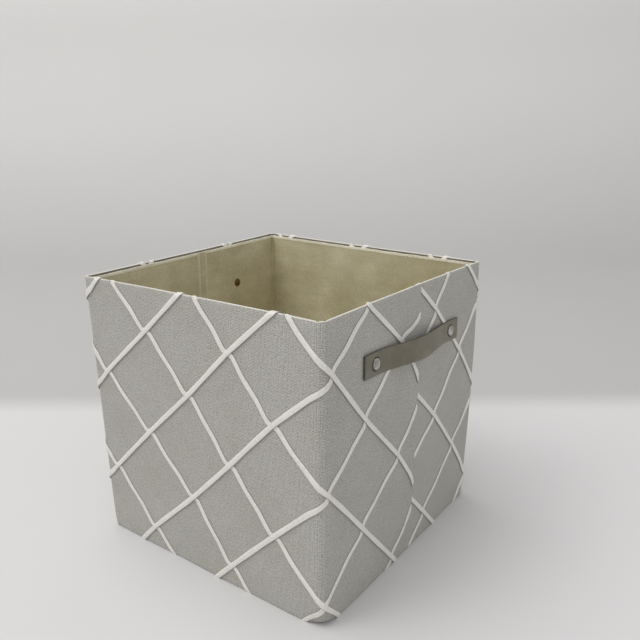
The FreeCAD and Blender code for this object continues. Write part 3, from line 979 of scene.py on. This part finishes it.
def make_tapes(span, pieces_of_cover):
    """Both tape families on one stretch of wall."""
    name, start, stop = span[:3]
    bottom = 0.3 * FLOOR_TURN
    top = HEIGHT - ROLL + math.pi * ROLL + HEM_INSIDE * 0.7
    for rising, family in ((True, "rising"), (False, "falling")):
        mesh = bmesh.new()
        for rows, low, high, seams, shift in pieces_of_cover:
            if high <= start or low >= stop:
                continue
            part = bmesh.new()
            for route in tape_routes(lattice(rows, low, high, shift), rising):
                samples = curl_at_seams(tape_line(route, rising), rising, seams)
                if len(samples) > 2:
                    add_ribbon(part, samples)
            clip_mesh(part, [(0, max(low, start), min(high, stop)), (1, bottom, top)])
            scratch = bpy.data.meshes.new("scratch")
            part.to_mesh(scratch)
            mesh.from_mesh(scratch)
            bpy.data.meshes.remove(scratch)
            part.free()
        data = bpy.data.meshes.new(f"{name}_{family}_tape_skin")
        mesh.to_mesh(data)
        mesh.free()
        data.uv_layers[0].name = "cloth"
        flat = np.zeros(len(data.vertices) * 3)
        data.vertices.foreach_get("co", flat)
        flat = flat.reshape(-1, 3)
        placed = on_cloth(flat[:, 0], flat[:, 1], flat[:, 2])
        data.vertices.foreach_set("co", placed.astype(np.float32).ravel())
        data.polygons.foreach_set("use_smooth", [True] * len(data.polygons))
        data.update()
        data.set_sharp_from_angle(angle=math.radians(50))
        obj = bpy.data.objects.new(data.name, data)
        bpy.context.scene.collection.objects.link(obj)
        obj.data.materials.append(TAPE)
        attach(obj, span, "tape_cloth", family + "_tapes")


# ---------------------------------------------------------------- handles
STRAP_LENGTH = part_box("right_handle_strap")[1].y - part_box("right_handle_strap")[0].y
STRAP_WIDTH = 25 * MM
STRAP_THICK = 2.0 * MM
STRAP_ROUND = 0.7 * MM   # radius of the strap's long edges
STRAP_DIVISIONS = (0.6, 0.25, -0.25, -0.6)   # shares of the half width
STRAP_STEP = 2.0 * MM
STRAP_PAINT = 0.45 * MM  # width of the painted edge
STRAP_BEND = 74 * MM     # from the strap's middle to where it meets the wall
STRAP_REST = 1.0 * MM    # strap above the cover, on the tapes
STRAP_LEAN = 2.0 * MM    # how much further out the strap's lower edge stands
STRAP_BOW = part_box("right_handle_strap")[1].x - WIDTH / 2 - STRAP_REST - STRAP_THICK


def handle_frame(side):
    """Middle height and slope of a handle, from its two rivets."""
    prefix = "right" if side > 0 else "left"
    heights = []
    for half in ("front", "rear"):
        low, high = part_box(f"{prefix}_{half}_rivet")
        heights.append(((low.y + high.y) / 2, (low.z + high.z) / 2))
    (front_y, front_z), (rear_y, rear_z) = heights
    slope = (rear_z - front_z) / (rear_y - front_y)
    return front_y, rear_y, (front_z + rear_z) / 2, slope


def handle_point(side, y, z, out):
    """Points beside a handle wall, by distance to the rear, height and distance off the cover."""
    y, z, out = (np.asarray(values, float) for values in (y, z, out))
    return shell(side * (RIGHT_MIDDLE + y), z, out)


def strap_outline():
    """Strap section as a closed ring, with both faces divided so that they can sag."""
    half, low, high = STRAP_WIDTH / 2, STRAP_ROUND, STRAP_THICK - STRAP_ROUND
    inner = half - STRAP_ROUND
    ring = []
    for quarter, (across, out) in enumerate(((inner, low), (inner, high), (-inner, high), (-inner, low))):
        for angle in np.linspace(quarter - 1, quarter, 5) * math.pi / 2:
            ring.append((across + STRAP_ROUND * math.cos(angle), out + STRAP_ROUND * math.sin(angle)))
        if quarter == 1:
            ring += [(half * share, STRAP_THICK) for share in STRAP_DIVISIONS]
    ring += [(-half * share, 0.0) for share in STRAP_DIVISIONS]
    kept = [ring[0]]
    for point in ring[1:]:
        if math.dist(point, kept[-1]) > 1e-6:
            kept.append(point)
    return kept[::-1]


def strap_lift(y, across):
    """Distance of the strap's back off the cover: bowed, with the lower edge a little further out."""
    bow = 0.5 + 0.5 * np.cos(math.pi * np.clip(y / STRAP_BEND, -1, 1))
    lean = -across / STRAP_WIDTH * STRAP_LEAN * bow
    return STRAP_REST + STRAP_BOW * bow + lean


def make_strap_half(side, half):
    """Half of a strap, from its middle to its end, so that each half can fold with its wall."""
    prefix = "right" if side > 0 else "left"
    front_y, rear_y, middle_z, slope = handle_frame(side)
    end_y = -STRAP_LENGTH / 2 if half == "front" else STRAP_LENGTH / 2
    ys = spaced(min(end_y, 0.0), max(end_y, 0.0), STRAP_STEP)
    ring = strap_outline()
    y_all, across_all, out_all = [], [], []
    for y in ys:
        near_end = abs(y - end_y)
        shrink = 1.0 if near_end > 0.5 * MM else 0.97
        for across, out in ring:
            y_all.append(y)
            across_all.append(across * shrink)
            out_all.append(out if near_end > 0.5 * MM else 0.2 * MM + out * 0.8)
    y_all, across_all, out_all = (np.array(values) for values in (y_all, across_all, out_all))
    wavy = 0.35 * MM * np.sin(y_all * 70 + 0.8) * (across_all / STRAP_WIDTH)
    z_all = middle_z + slope * (y_all - (front_y + rear_y) / 2) + across_all + wavy
    points = handle_point(side, y_all, z_all, out_all + strap_lift(y_all, across_all))
    faces = grid_faces(len(ys), len(ring), closed=True, flip=side > 0)
    ends = [tuple(range(len(ring))), tuple(range((len(ys) - 1) * len(ring), len(ys) * len(ring)))]
    faces += [ends[0][::-1] if side > 0 else ends[0], ends[1] if side > 0 else ends[1][::-1]]
    name = f"{prefix}_strap_{half}"
    obj = make_object(name, points, faces, LEATHER, sharp=55)
    obj.data.materials.append(EDGE_PAINT)
    paint_strap_edges(obj, ring, len(ys))
    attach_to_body(obj, f"{prefix}_{half}_half")
    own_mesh(obj)
    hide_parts(f"{prefix}_handle_strap")


def paint_strap_edges(obj, ring, columns):
    """Gives the narrow sides and the end of the strap their darker sealed edge."""
    rows = len(ring)
    half = STRAP_WIDTH / 2
    narrow = [abs(across) > half - STRAP_PAINT for across, _ in ring]
    for index, polygon in enumerate(obj.data.polygons):
        if index < (columns - 1) * rows:
            j = index % rows
            if narrow[j] and narrow[(j + 1) % rows]:
                polygon.material_index = 1
        else:
            polygon.material_index = 1


def lathe(name, profile, origin, axis, material, segments=40):
    """A turned piece: profile of (radius, height) about an axis, closed at both ends."""
    axis = Vector(axis).normalized()
    first = Vector((0, 0, 1)).cross(axis).normalized()
    second = axis.cross(first)
    points, faces = [], []
    for radius, height in profile:
        for step in range(segments):
            angle = 2 * math.pi * step / segments
            spoke = first * math.cos(angle) + second * math.sin(angle)
            points.append(Vector(origin) + axis * height + spoke * radius)
    for i in range(len(profile) - 1):
        for j in range(segments):
            one, two = i * segments + j, i * segments + (j + 1) % segments
            faces.append((one, two, two + segments, one + segments))
    faces.append(tuple(range(segments))[::-1])
    faces.append(tuple(range((len(profile) - 1) * segments, len(profile) * segments)))
    return make_object(name, points, faces, material, sharp=35)


def arc_profile(radius, height, base, steps=8):
    """A low dome from its edge to its top."""
    angles = [math.pi / 2 * k / steps for k in range(steps + 1)]
    return [(max(radius * math.cos(a), 0.02 * MM), base + height * math.sin(a)) for a in angles]


CAP_RADIUS = (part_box("right_front_rivet")[1].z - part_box("right_front_rivet")[0].z) / 2
BACK_RADIUS = (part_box("left_rear_rivet_back")[1].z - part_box("left_rear_rivet_back")[0].z) / 2
POST_RADIUS = 2 * MM
# The ring round a cap, from below to its middle: share of the cap's radius, height in mm
RING_PROFILE = ((0.4, -0.6), (0.97, -0.3), (1, 0.1), (0.97, 0.45), (0.86, 0.55), (0.82, 0.25), (0.3, 0.2))


def make_rivet(side, half):
    """Outer cap in its ring, made dark as painted shade of the recess round the cap, and the small aged
    dome on the lining.
    """
    prefix = "right" if side > 0 else "left"
    front_y, rear_y, middle_z, slope = handle_frame(side)
    y = front_y if half == "front" else rear_y
    z = middle_z + slope * (y - (front_y + rear_y) / 2)
    face = handle_point(side, [y, y + 1 * MM, y], [z, z, z + 1 * MM], [0.0, 0.0, 0.0])
    normal = Vector(np.cross(face[1] - face[0], face[2] - face[0])).normalized()
    if normal.x * side < 0:
        normal = -normal
    body = f"{prefix}_{half}_half"
    outer = Vector(face[0]) + normal * (STRAP_REST + STRAP_THICK)
    rim = [(CAP_RADIUS * share, height * MM) for share, height in RING_PROFILE]
    ring = lathe(f"{prefix}_{half}_rivet_ring", rim, outer, normal, RIVET_SHADE_METAL)
    dome = [(CAP_RADIUS * 0.3, 0.1 * MM), (CAP_RADIUS * 0.80, 0.15 * MM)]
    dome += arc_profile(CAP_RADIUS * 0.83, 2.0 * MM, 0.6 * MM)
    cap = lathe(f"{prefix}_{half}_rivet_cap", dome, outer, normal, NICKEL)
    inner = Vector(face[0]) - normal * (WALL + 0.15 * MM)
    knob = [(BACK_RADIUS * 0.5, -0.4 * MM), (BACK_RADIUS * 0.98, -0.2 * MM), (BACK_RADIUS, 0.25 * MM),
            (BACK_RADIUS * 0.8, 0.5 * MM)] + arc_profile(BACK_RADIUS * 0.72, 1.8 * MM, 0.5 * MM)
    back = lathe(f"{prefix}_{half}_rivet_button", knob, inner, -normal, OLD_BRASS)
    shaft = [(POST_RADIUS, 0.0), (POST_RADIUS, WALL + STRAP_REST + STRAP_THICK)]
    post = lathe(f"{prefix}_{half}_rivet_post", shaft, inner, normal, RIVET_SHADE_METAL, 20)
    for piece, slot, node in ((ring, "rivet_cap", "_rivet"), (cap, "rivet_cap", "_rivet"),
                              (post, "rivet_cap", "_rivet"), (back, "rivet_back", "_rivet_back")):
        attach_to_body(piece, body)
        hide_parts(f"{prefix}_{half}{node}")


# ---------------------------------------------------------------- floor cloth and insert
BASE_INSET = 3.0 * MM    # from the outside of the walls to the cloth floor's edge
BASE_SPANS = 44          # faces of the cloth floor along each edge
BASE_THICK = 0.75 * MM
BASE_RIPPLE = 0.12 * MM
BASE_CORNER_CUT = 0.01   # share by which its corners are drawn in


def make_base_cloth():
    """Cloth floor, with slight unevenness and drawn-in corners; it is attached to the rear wall's body."""
    inset, rows, columns = BASE_INSET, BASE_SPANS, BASE_SPANS
    points, maps = [], []
    for layer in (0, 1):
        for i in range(columns + 1):
            for j in range(rows + 1):
                a, b = 2 * i / columns - 1, 2 * j / rows - 1
                corner = 1 - BASE_CORNER_CUT * smooth((abs(a) + abs(b) - 1.7) / 0.3)
                x, y = a * (WIDTH / 2 - inset) * corner, b * (DEPTH / 2 - inset) * corner
                edge = max(abs(a), abs(b))
                ripple = math.sin(x * 60 + 0.4) * math.sin(y * 47 + 1.0) * (1 - edge ** 4)
                z = BASE_RIPPLE * (1 + ripple)
                z += BASE_THICK * layer
                points.append((x, y, z))
                maps.append((x, y))
    size = (columns + 1) * (rows + 1)
    faces = grid_faces(columns + 1, rows + 1, 0, flip=True) + grid_faces(columns + 1, rows + 1, size)
    rim = [i * (rows + 1) for i in range(columns + 1)]
    rim += [columns * (rows + 1) + j for j in range(1, rows + 1)]
    rim += [i * (rows + 1) + rows for i in range(columns - 1, -1, -1)]
    rim += [j for j in range(rows - 1, 0, -1)]
    for one, two in zip(rim, rim[1:] + rim[:1]):
        faces.append((one, two, two + size, one + size))
    placed = slack(np.array(points))
    obj = make_object("base_cloth_sheet", placed, faces, BASE, maps)
    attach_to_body(obj, "rear_wall")
    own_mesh(obj)
    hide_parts("base_cloth")


SLEEVE_CLOTH = 0.4 * MM
INSERT_CORNER = 16 * MM  # radius of the insert's corners
INSERT_CUT = 0.026       # share by which the sleeve's corners are drawn in


def make_insert_board():
    """The board in the insert's sleeve, with rounded corners and softened edges."""
    low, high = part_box("insert_board")
    soft = 0.3 * MM
    points, faces = [], []
    for inset, z in ((soft, low.z), (0, low.z + soft), (0, high.z - soft), (soft, high.z)):
        for quarter in range(4):
            for angle in np.linspace(0, math.pi / 2, 9) + quarter * math.pi / 2:
                across, along = math.cos(angle), math.sin(angle)
                x = (high.x - INSERT_CORNER) * (1 if quarter in (0, 3) else -1)
                y = (high.y - INSERT_CORNER) * (1 if quarter in (0, 1) else -1)
                radius = INSERT_CORNER - inset
                points.append((x + radius * across, y + radius * along, z))
    ring = len(points) // 4
    for level in range(3):
        for k in range(ring):
            one, two = level * ring + k, level * ring + (k + 1) % ring
            faces.append((one, two, two + ring, one + ring))
    faces.append(tuple(range(ring))[::-1])
    faces.append(tuple(range(3 * ring, 4 * ring)))
    obj = make_object("insert_board_sheet", points, faces, PRESSED_BOARD)
    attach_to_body(obj, "base_insert")
    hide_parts("insert_board")


def make_insert():
    """The base insert's cloth sleeve: softly rounded, sewn round its edge, a little slack on top."""
    low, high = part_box("insert_cloth")
    half_x, half_y = (high.x - low.x) / 2, (high.y - low.y) / 2
    bottom, top = low.z, high.z
    edge_round = (top - bottom) / 2
    points, faces, maps = [], [], []
    stations = 48
    levels = []
    for share in (0.0, 0.2, 0.4, 0.6, 0.8, 0.9, 0.95, 0.985):
        levels.append((share, top))
    for step in range(1, 7):
        angle = math.pi * step / 7
        share = 1.0 + edge_round * (math.sin(angle) - 1) / half_x
        levels.append((share, bottom + edge_round * (1 + math.cos(angle))))
    for share in (0.985, 0.95, 0.8, 0.5, 0.2, 0.0):
        levels.append((share, bottom))
    columns = len(levels)
    for share, z in levels:
        for k in range(stations * 4):
            quarter, t = divmod(k, stations)
            t = 2 * t / stations - 1
            a, b = [(t, -1), (1, t), (-t, 1), (-1, -t)][quarter]
            corner = 1 - INSERT_CUT * smooth((abs(a) + abs(b) - 1.86) / 0.16)
            x, y = a * share * half_x * corner, b * share * half_y * corner
            inner = 1 - max(abs(a), abs(b)) * share
            puff = 0.35 * MM * math.sin(x * 38 + 0.7) * math.sin(y * 31 + 0.2) * min(1.0, inner * 6)
            stitch = -0.35 * MM * math.exp(-((inner - 0.045) * half_x / (0.9 * MM)) ** 2)
            lift = (0.25 * MM + puff + stitch) if z >= top - 1e-6 else 0.0
            points.append((x, y, z + lift))
            maps.append((x, y))
    ring = stations * 4
    for i in range(columns - 1):
        for j in range(ring):
            k = (j + 1) % ring
            faces.append((i * ring + j, (i + 1) * ring + j, (i + 1) * ring + k, i * ring + k))
    obj = make_object("insert_sleeve", points, faces, LINING, maps)
    merge = bmesh.new()
    merge.from_mesh(obj.data)
    bmesh.ops.remove_doubles(merge, verts=merge.verts, dist=1e-6)
    bmesh.ops.recalc_face_normals(merge, faces=merge.faces)
    bmesh.ops.solidify(merge, geom=merge.faces[:], thickness=SLEEVE_CLOTH)
    merge.to_mesh(obj.data)
    merge.free()
    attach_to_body(obj, "base_insert")
    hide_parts("insert_cloth")


# ---------------------------------------------------------------- studio
CAMERA_ELEVATION = 16.44
CAMERA_ROLL = -0.33
CAMERA_DISTANCE = 0.848
CAMERA_RIGHT = 0.0345
CAMERA_UP = 0.0923
CAMERA_LENS = 38.07


def make_camera():
    """The camera, looking along its azimuth and elevation past the middle of the bin."""
    azimuth, elevation, roll = (math.radians(v) for v in (CAMERA_AZIMUTH, CAMERA_ELEVATION, CAMERA_ROLL))
    back = Vector((math.sin(azimuth) * math.cos(elevation), -math.cos(azimuth) * math.cos(elevation),
                   math.sin(elevation)))
    level = Vector((math.cos(azimuth), math.sin(azimuth), 0))
    above = back.cross(level)
    right = level * math.cos(roll) + above * math.sin(roll)
    up = above * math.cos(roll) - level * math.sin(roll)
    place = back * CAMERA_DISTANCE + right * CAMERA_RIGHT + up * CAMERA_UP + Vector((0, 0, HEIGHT / 2))
    data = bpy.data.cameras.new("camera")
    data.lens = CAMERA_LENS
    data.sensor_width = 36.0
    data.clip_start = 0.01
    camera = bpy.data.objects.new("camera", data)
    camera.matrix_world = Matrix((right, up, back)).transposed().to_4x4()
    camera.location = place
    bpy.context.scene.collection.objects.link(camera)
    bpy.context.scene.camera = camera


def make_table():
    """A pale sweep: flat under the bin, curving up into a plain backdrop far behind it."""
    half, near, far, bend, tall = 9.0, -3.0, 1.6, 0.9, 3.2
    profile = [(near, 0.0), (0.0, 0.0), (far, 0.0)]
    for angle in np.linspace(0.08, math.pi / 2, 16):
        profile.append((far + bend * math.sin(angle), bend * (1 - math.cos(angle))))
    profile.append((far + bend, tall))
    turn = math.radians(CAMERA_AZIMUTH)
    points = []
    for across in (-half, half):
        for away, up in profile:
            x = across * math.cos(turn) - away * math.sin(turn)
            y = across * math.sin(turn) + away * math.cos(turn)
            points.append((x, y, up))
    table = make_object("studio_table", points, grid_faces(2, len(profile)), STUDIO)


def add_light(name, size, power, place, aim, colour=(1, 1, 1)):
    """A soft round lamp that faces a point."""
    data = bpy.data.lights.new(name, "AREA")
    data.shape = "DISK"
    data.size = size
    data.energy = power
    data.color = colour
    light = bpy.data.objects.new(name, data)
    light.location = place
    light.rotation_mode = "QUATERNION"
    light.rotation_quaternion = (Vector(place) - Vector(aim)).to_track_quat("Z", "Y")
    bpy.context.scene.collection.objects.link(light)


def make_lights():
    """Key, top and fill lamps, and a pale world."""
    middle = (0, 0, HEIGHT * 0.5)
    add_light("key", 3.0, 72, (-2.2, -3.4, 5.0), middle, (1.0, 0.99, 0.97))
    add_light("top", 4.4, 134, (-0.9, -0.9, 5.1), middle)
    add_light("fill", 1.8, 6, (2.0, -1.6, 1.2), middle, (0.98, 0.99, 1.0))
    world = bpy.data.worlds.new("studio_world")
    world.use_nodes = True
    background = world.node_tree.nodes["Background"]
    background.inputs["Color"].default_value = (0.95, 0.97, 1.0, 1)
    background.inputs["Strength"].default_value = 0.62
    bpy.context.scene.world = world
    bpy.context.scene.view_settings.view_transform = "Standard"


# ---------------------------------------------------------------- assembly
make_camera()
make_table()
make_lights()
COVER_PIECES = [
    (FRONT_CROSSINGS, -SEAM, SEAM, (-SEAM, SEAM), 0.0),
    (REAR_CROSSINGS, SEAM, ROUND - SEAM, (), 0.0),
    (REAR_CROSSINGS, SEAM - ROUND, -SEAM, (), -ROUND),
]
make_boards()
for wall_span in SPANS:
    make_cover(wall_span)
    make_lining(wall_span)
    make_edging(wall_span)
    make_tapes(wall_span, COVER_PIECES)
make_corner_gusset()
for handle_side in (1, -1):
    for handle_half in ("front", "rear"):
        make_strap_half(handle_side, handle_half)
        make_rivet(handle_side, handle_half)
make_base_cloth()
make_insert_board()
make_insert()
